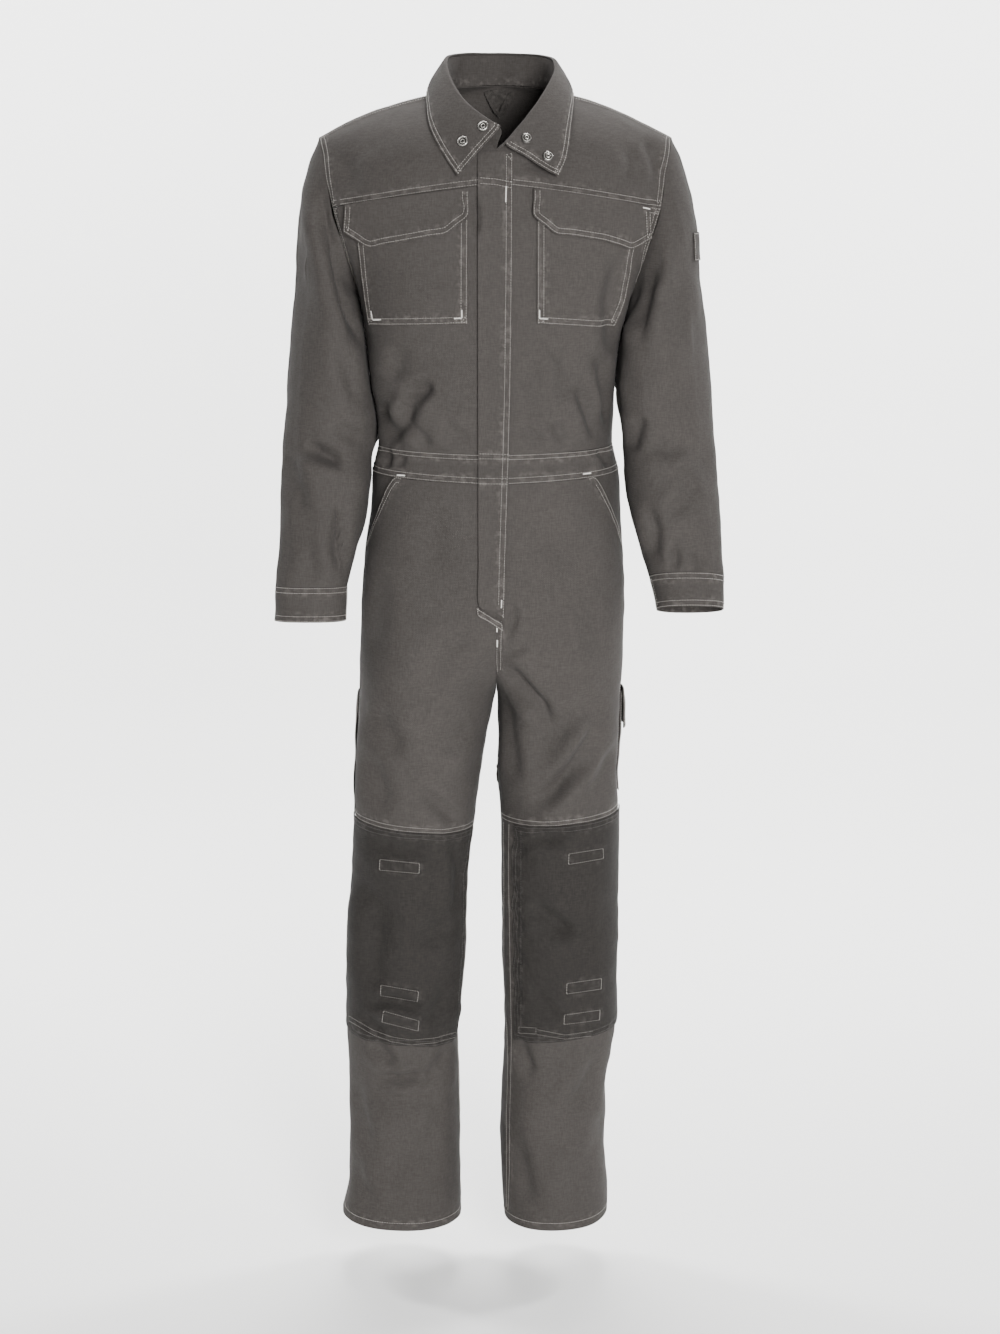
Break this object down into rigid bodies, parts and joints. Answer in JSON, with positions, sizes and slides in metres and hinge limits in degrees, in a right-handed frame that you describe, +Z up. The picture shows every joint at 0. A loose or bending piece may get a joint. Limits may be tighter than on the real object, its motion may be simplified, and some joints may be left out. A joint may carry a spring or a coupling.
{
  "type": "boiler suit",
  "caption": "One-piece long-sleeved work suit, filled out with no wearer: turn-down collar, covered front zip, waistband, chest and thigh pockets and knee patches.",
  "frame": {"origin": "the point between the wearer's shoulders, level with the neck seam at the sides of the neck", "axes": "+Z up; the front faces -Y; +X towards the wearer's left hand, which is the viewer's right from the front"},
  "size_m": [0.598, 0.2522, 1.6041],
  "materials": {
    "twill": "matt grey polyester-cotton twill",
    "knee_cloth": "darker, smoother hard-wearing cloth",
    "webbing": "woven tape",
    "steel": "satin nickel plate"
  },
  "bodies": {
    "root": {"back": "twill", "front_right": "twill", "front_left": "twill", "yoke_right": "twill", "yoke_left": "twill", "waistband": "twill", "thigh_front_right": "twill", "thigh_front_left": "twill", "shin_front_right": "twill", "shin_front_left": "twill", "thigh_back_right": "twill", "shin_back_right": "twill", "thigh_back_left": "twill", "shin_back_left": "twill", "upper_arm_front_right": "twill", "forearm_front_right": "twill", "upper_arm_back_right": "twill", "forearm_back_right": "twill", "upper_arm_front_left": "twill", "forearm_front_left": "twill", "upper_arm_back_left": "twill", "forearm_back_left": "twill", "cuff_right": "twill", "cuff_left": "twill", "collar_stand": "twill", "collar_leaf": "twill", "placket": "twill", "fly_tab": "twill", "chest_pocket_right": "twill", "chest_pocket_left": "twill", "chest_flap_right": "twill", "chest_flap_left": "twill", "hip_facing_right": "twill", "hip_facing_left": "twill", "thigh_pocket": "twill", "thigh_flap": "twill", "rule_pocket": "twill", "sleeve_badge": "twill", "knee_patch_right": "knee_cloth", "knee_patch_left": "knee_cloth", "neck_label": "webbing", "hanger_loop": "webbing", "snap_socket_upper": "steel", "snap_socket_lower": "steel", "snap_stud_upper": "steel", "snap_stud_lower": "steel"}
  },
  "joints": []
}
